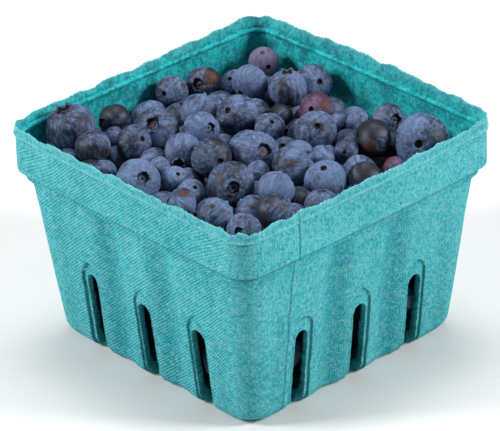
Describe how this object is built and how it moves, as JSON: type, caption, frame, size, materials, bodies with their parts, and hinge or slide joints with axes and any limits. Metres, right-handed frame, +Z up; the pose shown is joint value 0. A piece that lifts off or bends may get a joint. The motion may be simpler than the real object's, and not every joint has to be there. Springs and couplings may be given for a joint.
{
  "type": "punnet of blueberries",
  "caption": "Square tapered punnet of moulded paper pulp with a banded rim and upright slots low in its sides, heaped with blueberries.",
  "frame": {"origin": "under the middle of the punnet, on the surface it stands on", "axes": "+Z up, +X and -Y out of the two sides that the picture shows"},
  "size_m": [0.1156, 0.1156, 0.0819],
  "materials": {
    "pulp": "matt teal moulded pulp",
    "berry_skin": "dark blue skin with a pale waxy bloom"
  },
  "bodies": {
    "root": {"basket": "pulp", "berries": "berry_skin"}
  },
  "joints": []
}
